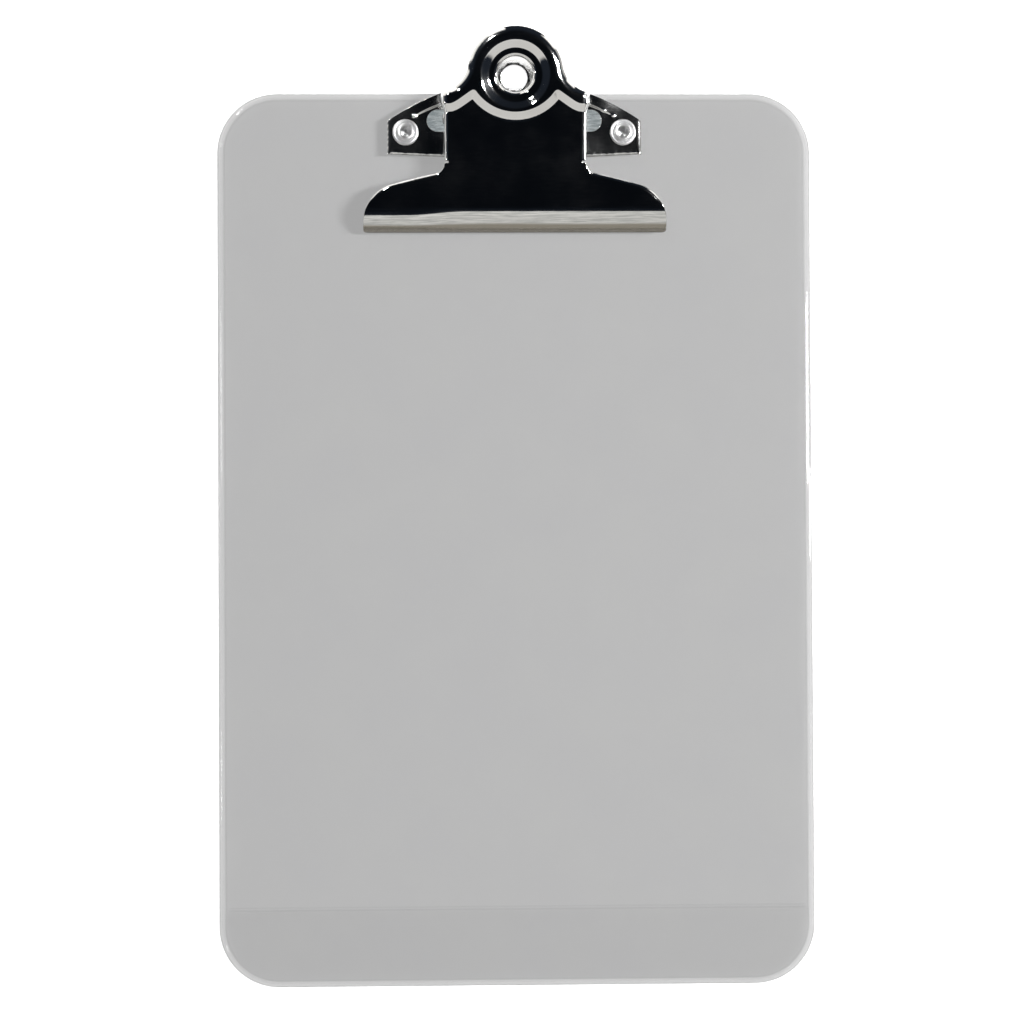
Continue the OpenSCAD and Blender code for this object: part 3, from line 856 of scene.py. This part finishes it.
def base_loops():
    s_piv = EAR_TIP
    loops = [base_outline()]
    for s in (-1, 1):
        loops.append(arc((s * RIVX, RIVY), 2.0, 0, 360, 0.3)[:-1])
    loops.append(arc(TAB, HANG_R, 0, 360, 0.35)[:-1])
    for s in (-1, 1):
        py = PIV[1]
        w, r = 2.8, EAR_R
        tip = s_piv
        out = [np.array([[EAR_X0 + 0.02, py - w]]), np.array([[22.4 - w, py - w]]),
               arc((22.4 - w, py), w, -90, 90, 0.3),
               np.array([[EAR_X0 + 0.02, py + w]])]
        back = [np.array([[EAR_X0 + 0.02, py + r]]), np.array([[tip, py + r]]),
                arc((tip, py), r, 90, -90, 0.3), np.array([[EAR_X0 + 0.02, py - r]])]
        lp = tidy(dense(np.vstack(out + back), 0.4, close=True))
        loops.append(lp * [s, 1])
        loops.append(arc((s * s_piv, py), 1.51, 0, 360, 0.22)[:-1])
    return loops


base_pts = np.vstack([
    grid(-33, 33, 97, 130, 0.8),
    grid(-32, 32, 97.3, 99.6, 0.24),
    grid(-30, 30, 100, 116.5, 0.42),
])
base_pts = base_pts[np.argsort(base_pts[:, 0], kind="stable")]
base_pts += (np.random.default_rng(3).random(base_pts.shape) - 0.5) * 0.01


def thin_out(p, least):
    """Drops points that lie closer than least to one already kept."""
    seen, keep = set(), []
    for q in p:
        key = (int(q[0] // least), int(q[1] // least))
        if any((key[0] + i, key[1] + j) in seen for i in (0,) for j in (0,)):
            continue
        seen.add(key)
        keep.append(q)
    return np.array(keep)


base_pts = thin_out(base_pts, 0.24)
rho_ = np.hypot(base_pts[:, 0], base_pts[:, 1] - ARC_Y)
base_pts = base_pts[(np.abs(rho_ - 54.3) > 0.55) | (np.abs(base_pts[:, 0]) > 28)]
base_pts = np.vstack([base_pts] + [
    arc((0, ARC_Y), r, 59.5, 120.5, 0.28) for r in np.arange(53.85, 54.85, 0.1)])


def base_place(V):
    """The turned-down edges rest on the board instead of sinking into it."""
    return np.c_[V[:, :2], np.maximum(V[:, 2], BT + 0.005)]


v, f = sheet_mesh(base_loops(), base_pts, base_surface, B_T, 0.07, base_place)
base = make_object("clip_base_plate", v * MM, f, M_BASE)
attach(base, BASE_BODY)
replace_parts(base, "clip_base")

# ------------------------------------------------------------------ lever
W_TOP, L_T = 5.0, 1.0
JHW, NHW = 38.8, 18.1
LIP_R, REACH = 7.3, 21.9
LIP_FULL = 0.5                # the lip's end stands this much outside the arc
HOLE = np.array([0.0, 11.4])
GRIP_R = 12.3
HOLLOW_R = 8.0
NECK_TOP = 7.1
BEND_R = 1.1
BEND0 = NHW - BEND_R          # where the side ears start to bend
EAR_U = BEND0 + BEND_R * math.pi / 2
PIN_U = EAR_U + (W_TOP - BEND_R)
EAR_LO = -10.5


def lip_end():
    """Angle at which the rolled lip reaches the board."""
    for a in np.radians(np.arange(40, 90, 0.05)):
        r = LIP_R - L_T + LIP_FULL
        y, z = -REACH - r * math.sin(a), W_TOP - LIP_R + r * math.cos(a)
        if PIV[2] + y * math.sin(TILT) + z * math.cos(TILT) < BT + 0.06:
            return a
    return math.radians(75)


LIP_A = lip_end()
LIP_V = -REACH - LIP_R * LIP_A

hd = np.array([NHW, NECK_TOP - HOLE[1]])
hl = np.linalg.norm(hd)
ha = ((GRIP_R + HOLLOW_R) ** 2 - HOLLOW_R ** 2 + hl * hl) / (2 * hl)
hh = math.sqrt((GRIP_R + HOLLOW_R) ** 2 - ha * ha)
HOLLOW = HOLE + np.array([(ha * hd[0] - hh * hd[1]) / hl,
                          (ha * hd[1] + hh * hd[0]) / hl])


def lever_outline():
    sl = math.radians(13.8)
    n = np.array([math.sin(sl), math.cos(sl)])
    d = -8.36
    cr, fr = 10.0, 2.5
    cc = np.array([JHW - cr, 0.0])
    cc[1] = (d - cr - cc[0] * n[0]) / n[1]
    fc = np.array([NHW + fr, 0.0])
    fc[1] = (d + fr - fc[0] * n[0]) / n[1]
    lr = 1.3
    pts = [np.array([[0, LIP_V], [JHW - lr, LIP_V]]),
           arc((JHW - lr, LIP_V + lr), lr, -90, 0),
           arc(cc, cr, 0, 90 - 13.8, 0.35),
           arc(fc, fr, 270 - 13.8, 181, 0.3),
           np.array([[NHW - 0.1, EAR_LO - 0.42], [BEND0 + 0.12, EAR_LO - 0.36],
                     [BEND0 + 0.05, EAR_LO - 0.2], [BEND0 + 0.12, EAR_LO - 0.04],
                     [EAR_U, EAR_LO]])]
    # ear flap, rounded round the pin
    c = np.array([PIN_U, 0.0])
    r = 3.0
    for (y, s) in ((EAR_LO, -1), (NECK_TOP, 1)):
        p = np.array([EAR_U, y]) - c
        ang = math.atan2(p[1], p[0])
        t = math.acos(r / np.linalg.norm(p))
        if s == -1:
            a0 = math.degrees(ang % (2 * math.pi) + t)
        else:
            a1 = math.degrees(ang % (2 * math.pi) - t)
    a0 = a0 - 360 if a0 > 0 else a0
    pts += [arc(c, r, a0, a1, 0.3),
            np.array([[EAR_U, NECK_TOP], [NHW + 0.05, NECK_TOP]])]
    v0 = np.array([NHW, NECK_TOP]) - HOLLOW
    v1 = HOLE - HOLLOW
    b0 = math.degrees(math.atan2(v0[1], v0[0])) % 360
    b1 = math.degrees(math.atan2(v1[1], v1[0])) % 360
    pts.append(arc(HOLLOW, HOLLOW_R, b0, b1, 0.3))
    g0 = math.degrees(math.atan2(HOLLOW[1] - HOLE[1], HOLLOW[0] - HOLE[0]))
    pts.append(arc(HOLE, GRIP_R, g0, 90, 0.35))
    wing = dense(np.vstack([pts[2], pts[3]]), 0.15)
    half = tidy(np.vstack(pts))
    left = half[::-1] * [-1, 1]
    whole = tidy(dense(np.vstack([half, left[1:]]), 0.45, close=True))
    rim = np.vstack([arc(HOLLOW, HOLLOW_R, b0, b1, 0.15),
                     arc(HOLE, GRIP_R, g0, 90, 0.15)])
    return whole, np.vstack([rim, rim[::-1] * [-1, 1]]), wing


LEVER_OUT, GRIP_RIM, WING_RIM = lever_outline()

# lower edge of the raised part: level at the ears, up to a cusp, then a bow
# under the finger hole
side_curve = np.array([[19.5, 3.0], [17.3, 3.0], [16.2, 3.1], [15.2, 3.5],
                       [14.1, 4.15], [12.9, 5.0], [11.7, 5.85], [10.75, 6.5]])
bow_c, bow_r = np.array([0.0, 14.05]), 13.1
bow_a = math.degrees(math.atan2(6.5 - bow_c[1], 10.75))
RAISED_EDGE = np.vstack([side_curve[:-1],
                         arc(bow_c, bow_r, bow_a, -180 - bow_a, 0.5),
                         (side_curve[:-1] * [-1, 1])[::-1]])
FL_R = 1.1                    # rounding into the finger hole
FL_IN = 4.5
FL_S = FL_IN + FL_R           # where the flat ends
FL_END = FL_S - FL_R * math.pi / 2 - 1.0


def lever_height(uv):
    rho = np.hypot(uv[:, 0] - HOLE[0], uv[:, 1] - HOLE[1])
    h = np.zeros(len(uv))
    near = uv[:, 1] > -3.0
    if near.any():
        p = uv[near]
        q = p.copy()
        q[:, 0] = np.clip(q[:, 0], -18.0, 18.0)
        dist, side = polyline_distance(q, RAISED_EDGE)
        sd = -dist * side
        up = ramp(sd + 1.2, 2.4, 0.35)
        dish = ramp(rho[near] - 6.5, 2.6, 0.5)
        e = np.full(len(p), 9.0)
        for k in range(0, len(p), 3000):
            dd = p[k:k + 3000, None, :] - GRIP_RIM[None]
            e[k:k + 3000] = np.sqrt((dd ** 2).sum(2).min(1))
        out = 1 - np.clip(e / 2.4, 0, 1)
        h[near] = 0.88 * up * dish - 0.85 * out ** 2 * smooth((p[:, 1] - 5.5) / 2.5)
    wing = (uv[:, 1] > -21.5) & (uv[:, 1] < -8.0) & (np.abs(uv[:, 0]) > 16)
    if wing.any():
        p = np.abs(uv[wing] * [1, 0]) + uv[wing] * [0, 1]
        e = np.full(len(p), 9.0)
        for k in range(0, len(p), 3000):
            dd = p[k:k + 3000, None, :] - WING_RIM[None]
            e[k:k + 3000] = np.sqrt((dd ** 2).sum(2).min(1))
        fade = smooth((p[:, 0] - 18.6) / 1.5) * smooth((p[:, 1] + 21.5) / 2.0)
        h[wing] -= 0.40 * np.clip(1 - e / 1.05, 0, 1) ** 2 * fade
    # the bend is a little fuller towards the left end of the jaw
    s = -REACH - uv[:, 1]
    h += 0.30 * smooth((s - 0.6) / 3.0) * (1 - smooth((s - 4.4) / 3.5)) * smooth(
        (-uv[:, 0] - 11.5) / 17.0)
    h += LIP_FULL * smooth((s - 4.2) / 3.2)
    # slight unevenness of the pressed sheet
    h += 0.010 * np.sin(uv[:, 0] * 0.21 + 0.8) * np.sin(uv[:, 1] * 0.33) * (
        uv[:, 1] > -21)
    return h


def lever_base_map(uv):
    """Sheet's front before pressing: position and normal."""
    u, v = uv[:, 0], uv[:, 1]
    pos = np.c_[u, v, np.full(len(u), W_TOP)]
    nor = np.tile([0.0, 0.0, 1.0], (len(u), 1))
    lip = v < -REACH
    a = (-REACH - v) / LIP_R
    lp = np.c_[u, -REACH - LIP_R * np.sin(a), W_TOP - LIP_R * (1 - np.cos(a))]
    ln = np.c_[np.zeros(len(u)), -np.sin(a), np.cos(a)]
    pos[lip], nor[lip] = lp[lip], ln[lip]
    au, sg = np.abs(u), np.sign(u)
    ear = (au > BEND0) & (v > EAR_LO - 0.2) & (v < 9.6) & ~lip
    b = np.clip((au - BEND0) / BEND_R, 0, math.pi / 2)
    down = np.maximum(au - EAR_U, 0)
    ep = np.c_[sg * (BEND0 + BEND_R * np.sin(b)), v,
               W_TOP - BEND_R * (1 - np.cos(b)) - down]
    en = np.c_[sg * np.sin(b), np.zeros(len(u)), np.cos(b)]
    pos[ear], nor[ear] = ep[ear], en[ear]
    d = uv - HOLE
    rho = np.hypot(d[:, 0], d[:, 1])
    fl = rho < FL_S
    w = d / np.maximum(rho, 1e-9)[:, None]
    s = FL_S - rho
    c = np.clip(s / FL_R, 0, math.pi / 2)
    down = np.maximum(s - FL_R * math.pi / 2, 0)
    rr = FL_S - FL_R * np.sin(c)
    zz = W_TOP - FL_R * (1 - np.cos(c)) - down
    fp = np.c_[HOLE[0] + w[:, 0] * rr, HOLE[1] + w[:, 1] * rr, zz]
    fn = np.c_[-w[:, 0] * np.sin(c), -w[:, 1] * np.sin(c), np.cos(c)]
    pos[fl], nor[fl] = fp[fl], fn[fl]
    return pos, nor, fl


def lever_surface(uv):
    pos, nor, fl = lever_base_map(uv)
    h = lever_height(uv)
    h[fl] = lever_height(np.tile([0.0, -9.0], (1, 1)))[0] * 0
    return pos + h[:, None] * nor


def lever_place(V):
    c, s = math.cos(TILT), math.sin(TILT)
    y, z = V[:, 1], V[:, 2]
    return np.c_[V[:, 0], PIV[1] + y * c - z * s, PIV[2] + y * s + z * c]


lip_rows = np.arange(LIP_V + 0.25, -REACH + 0.6, 0.28)
lever_pts = np.vstack([
    grid(-39, 39, 0, 0, 0.75, rows=lip_rows),
    grid(-39, 39, -REACH + 0.9, -10.8, 0.42),
    grid(-17, 17, -10.6, 1.2, 0.8),
    grid(-26, 26, 1.4, 25, 0.33),
    grid(16.4, 26, -10.6, 1.2, 0.4),
    grid(-26, -16.4, -10.6, 1.2, 0.4),
])
hole_rings = [arc(HOLE, r, 0, 360, 0.3)[:-1]
              for r in np.arange(FL_END + 0.35, FL_S + 0.6, 0.24)]
lever_pts = lever_pts[np.hypot(lever_pts[:, 0], lever_pts[:, 1] - HOLE[1])
                      > FL_S + 0.75]
lever_pts = np.vstack([lever_pts] + hole_rings)
lever_loops = [LEVER_OUT, arc(HOLE, FL_END, 0, 360, 0.22)[:-1]]
for s in (-1, 1):
    lever_loops.append(arc((s * PIN_U, 0), 1.46, 0, 360, 0.25)[:-1])
v, f = sheet_mesh(lever_loops, lever_pts, lever_surface, L_T, 0.16, lever_place, k=4)
lever = make_object("clip_lever_sheet", v * MM, f, M_LEVER)
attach(lever, LEVER_BODY)
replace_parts(lever, "clip_lever")

# -------------------------------------------------------------- hinge pin
h = NHW + 0.4
pin_prof = np.vstack([[(0, -h)], rounded([(0.001, -h), (1.0, -h + 0.04),
                      (1.43, -h + 0.32), (1.43, h - 0.32), (1.0, h - 0.04),
                      (0.001, h)], 0.3)[1:-1], [(0, h)]])
pv, pf = revolve(pin_prof, 48)
pv = np.c_[pv[:, 2], PIV[1] + pv[:, 0], PIV[2] + pv[:, 1]]
pin = make_object("hinge_pin_rod", pv * MM, pf, M_PIN)
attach(pin, LEVER_BODY)
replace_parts(pin, "hinge_pin")

# --------------------------------------------------------- torsion spring
WIRE, COIL, PITCH = 0.64, 2.4, 1.5
foot_a, arm_a = math.radians(-94.5), math.radians(90 + 15.9)
turn = 2 * math.pi * 9 - (arm_a - foot_a)
clen = PITCH * turn / (2 * math.pi)


def coil_point(a, x):
    return np.array([x, COIL * math.cos(a), COIL * math.sin(a)])


path = []
for k in np.linspace(1, 0.02, 12):
    path.append(coil_point(foot_a, -clen / 2)
                + 6.5 * k * np.array([0, -math.sin(foot_a), math.cos(foot_a)]))
steps = int(turn / math.radians(8))
for i in range(steps + 1):
    t = i / steps
    path.append(coil_point(foot_a - turn * t, clen * (t - 0.5)))
for k in np.linspace(0.02, 1, 14):
    path.append(coil_point(arm_a, clen / 2)
                + 9.0 * k * np.array([0, math.sin(arm_a), -math.cos(arm_a)]))
path = np.array(path)
tan = np.gradient(path, axis=0)
tan /= np.linalg.norm(tan, axis=1)[:, None]
ns = 14
sv, sf = [], []
for i, (p, d) in enumerate(zip(path, tan)):
    a = np.cross(d, [1, 0, 0])
    a /= np.linalg.norm(a)
    b = np.cross(a, d)
    end = min(i, len(path) - 1 - i)
    r = WIRE * (0.86 if end == 0 else 1.0)
    for k in range(ns):
        t = 2 * math.pi * k / ns
        sv.append(p + r * (math.cos(t) * a + math.sin(t) * b))
for i in range(len(path) - 1):
    for k in range(ns):
        j = (k + 1) % ns
        sf.append((i * ns + k, (i + 1) * ns + k, (i + 1) * ns + j, i * ns + j))
c0, c1 = len(sv), len(sv) + 1
sv += [path[0] - tan[0] * 0.05, path[-1] + tan[-1] * 0.05]
for k in range(ns):
    j = (k + 1) % ns
    sf.append((k, j, c0))
    e = (len(path) - 1) * ns
    sf.append((e + j, e + k, c1))
sv = np.array(sv) + PIV
sa = sf[0]
spring = make_object("torsion_spring_wire", sv * MM, sf, M_SPRING)
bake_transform(spring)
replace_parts(spring, "torsion_spring")

# ----------------------------------------------------------------- rivets
bt = 4.0
roll = []
for a in np.radians(np.linspace(-70, 200, 15)):
    roll.append((1.85 + 0.42 * math.cos(a), bt + 0.93 + 0.42 * math.sin(a)))
riv_prof = np.vstack([
    [(0, 0.15)],
    rounded([(0.01, 0.15), (3.2, 0.15), (3.2, 0.85), (1.9, 0.85), (1.9, bt + 0.4)],
            [0, 0.25, 0.2, 0.1, 0])[1:],
    roll,
    rounded([(1.42, bt + 0.8), (1.36, 3.2), (1.25, 1.75), (0.95, 1.5), (0.45, 1.9),
             (0.22, 2.75), (0.01, 2.95)], 0.3)[1:-1],
    [(0, 2.95)]])
wash_prof = []
for a in np.radians(np.linspace(-8, 150, 10)):
    wash_prof.append((2.93 + 0.42 * math.cos(a), bt + 0.31 + 0.42 * math.sin(a)))
wash_prof = np.array(wash_prof + [(2.42, bt + 0.45), (2.0, bt + 0.44),
                                  (1.96, bt + 0.38), (1.96, bt + 0.08),
                                  (2.02, bt + 0.02), (3.22, bt + 0.02),
                                  (3.33, bt + 0.1)])
wash_prof = wash_prof[::-1] if signed_area(wash_prof) < 0 else wash_prof
for s, side in ((-1, "left"), (1, "right")):
    rv, rf = revolve(riv_prof, 72)
    rv = rv + [s * RIVX, RIVY, 0]
    ob = make_object("rivet_" + side + "_tube", rv * MM, rf, M_RIVET)
    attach(ob, BASE_BODY)
    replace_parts(ob, "rivet_" + side)
    wv, wf = revolve(wash_prof, 72)
    wv = wv + [s * RIVX, RIVY, 0]
    ob = make_object("rivet_washer_" + side + "_ring", wv * MM, wf, M_WASHER)
    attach(ob, BASE_BODY)
    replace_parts(ob, "rivet_washer_" + side)

# every closed piece gets its faces turned outwards
import bmesh
for ob in bpy.context.scene.objects:
    if ob.type == "MESH" and (ob.get("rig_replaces") is not None):
        bm = bmesh.new()
        bm.from_mesh(ob.data)
        bmesh.ops.recalc_face_normals(bm, faces=bm.faces)
        bm.to_mesh(ob.data)
        bm.free()

# ------------------------------------------------------------------ floor
fm, fnt, fo = new_material("paper_floor")
ftc = fnt.nodes.new("ShaderNodeTexCoord")
fb = fnt.nodes.new("ShaderNodeBsdfPrincipled")
fb.inputs["Roughness"].default_value = 0.9
fb.inputs["Specular IOR Level"].default_value = 0.1
fn_ = noise(fnt, ftc.outputs["Object"], 60.0, detail=4.0)
fmix = fnt.nodes.new("ShaderNodeMix")
fmix.data_type = "RGBA"
fmix.inputs["A"].default_value = (0.89, 0.89, 0.89, 1)
fmix.inputs["B"].default_value = (0.91, 0.91, 0.91, 1)
fnt.links.new(fn_, fmix.inputs["Factor"])
fnt.links.new(fmix.outputs["Result"], fb.inputs["Base Color"])
fb.inputs["Emission Color"].default_value = (1, 1, 1, 1)
flp = fnt.nodes.new("ShaderNodeLightPath")
mirror = mathed(fnt, "MULTIPLY", flp.outputs["Is Glossy Ray"],
                mathed(fnt, "SUBTRACT", 1.0, flp.outputs["Is Transmission Ray"]))
fnt.links.new(mathed(fnt, "MULTIPLY_ADD", mirror, -0.75, 1.0),
              fb.inputs["Emission Strength"])
fnt.links.new(fb.outputs["BSDF"], fo.inputs["Surface"])
floor = make_object("floor", [(-3, -3, -0.0004), (3, -3, -0.0004),
                              (3, 3, -0.0004), (-3, 3, -0.0004)], [(0, 1, 2, 3)], fm)


# ------------------------------------------------------------------ light
def area(name, azimuth, zenith, distance, size, power, about=(0, 0.06, 0)):
    d = bpy.data.lights.new(name, "AREA")
    d.shape = "RECTANGLE"
    d.size, d.size_y = size
    d.energy = power
    o = bpy.data.objects.new(name, d)
    a, z = math.radians(azimuth), math.radians(zenith)
    at = Vector((math.cos(a) * math.sin(z), math.sin(a) * math.sin(z), math.cos(z)))
    o.location = at * distance + Vector(about)
    o.rotation_mode = "QUATERNION"
    o.rotation_quaternion = at.to_track_quat("Z", "Y")
    o.visible_camera = False
    bpy.context.scene.collection.objects.link(o)
    return o


area("key", 4, 34, 1.2, (0.10, 0.30), 17.0)
area("rim_right", 0, 77, 1.0, (0.05, 0.40), 1.5, (0.076, 0.03, 0))
area("rim_left", 180, 57, 1.0, (0.05, 0.085), 0.5, (-0.076, -0.108, 0))
area("second", 127.7, 31.8, 1.3, (0.10, 0.10), 1.6)

w = bpy.data.worlds.new("studio")
scene.world = w
w.use_nodes = True
wn = w.node_tree
wn.nodes.clear()
wo = wn.nodes.new("ShaderNodeOutputWorld")
bg = wn.nodes.new("ShaderNodeBackground")
tc = wn.nodes.new("ShaderNodeTexCoord")
sep = wn.nodes.new("ShaderNodeSeparateXYZ")
wn.links.new(tc.outputs["Generated"], sep.inputs[0])


def m2(op, a, b, c=None):
    n = wn.nodes.new("ShaderNodeMath")
    n.operation = op
    for i, s in enumerate((a, b, c)):
        if s is None:
            continue
        if isinstance(s, (int, float)):
            n.inputs[i].default_value = s
        else:
            wn.links.new(s, n.inputs[i])
    return n.outputs[0]


X, Y, Z = sep.outputs
hor = m2("MAXIMUM", m2("SQRT", m2("SUBTRACT", 1.0, m2("MULTIPLY", Z, Z)), 0.0), 0.001)
hx, hy = m2("DIVIDE", X, hor), m2("DIVIDE", Y, hor)
zen = m2("ARCCOSINE", Z, 0.0)                       # radians from straight up
deg = math.radians
az = m2("ARCTAN2", Y, X)                            # 0 = +X, pi/2 = +Y


def window(lo, hi, soft):
    """1 between two azimuths (degrees), fading over soft degrees outside."""
    return m2("MULTIPLY", mapped(wn, az, deg(lo - soft), deg(lo), 0.0, 1.0),
              mapped(wn, az, deg(hi), deg(hi + soft), 1.0, 0.0))


# front card
past = m2("SUBTRACT", zen, deg(34.5))
front = m2("MULTIPLY", mapped(wn, past, 0.0, deg(3.0), 0.0, 1.0),
           mapped(wn, hy, -0.72, -0.60, 1.0, 0.0))
front = m2("MULTIPLY", front, mapped(wn, zen, deg(32), deg(80), 0.66, 0.56))
# windows of low light round the sides and back
back_left = m2("MULTIPLY", window(105, 128, 3), mapped(wn, zen, deg(36), deg(48), 0.0, 1.3))
back_more = m2("MULTIPLY", window(120, 167, 8), mapped(wn, zen, deg(42), deg(54), 0.0, 1.0))
right = m2("MULTIPLY", window(-4, 24, 6), mapped(wn, zen, deg(50), deg(62), 0.0, 0.5))
right = m2("MAXIMUM", right, m2("MULTIPLY", window(28, 44, 6),
                                mapped(wn, zen, deg(44), deg(54), 0.0, 1.3)))
low = m2("MULTIPLY", mapped(wn, zen, deg(58), deg(86), 0.0, 0.30), 1.0)
navy = mapped(wn, zen, deg(14), deg(46), 0.0, 0.018)
sides = m2("MAXIMUM", m2("MAXIMUM", back_left, back_more), m2("MAXIMUM", right, low))
floorside = mapped(wn, Z, -0.02, 0.0, 0.9, 0.0)
bright = m2("MAXIMUM", m2("MAXIMUM", front, sides), floorside)
total = m2("ADD", m2("MAXIMUM", bright, navy), 0.0045)
cool = wn.nodes.new("ShaderNodeMix")
cool.data_type = "RGBA"
wn.links.new(mapped(wn, bright, 0.02, 0.2, 0.0, 1.0), cool.inputs["Factor"])
cool.inputs["A"].default_value = (0.55, 0.70, 1.0, 1)
cool.inputs["B"].default_value = (1.0, 0.985, 0.955, 1)
wn.links.new(cool.outputs["Result"], bg.inputs["Color"])
wn.links.new(total, bg.inputs["Strength"])
wn.links.new(bg.outputs[0], wo.inputs["Surface"])

scene.cycles.caustics_refractive = False
scene.cycles.caustics_reflective = False
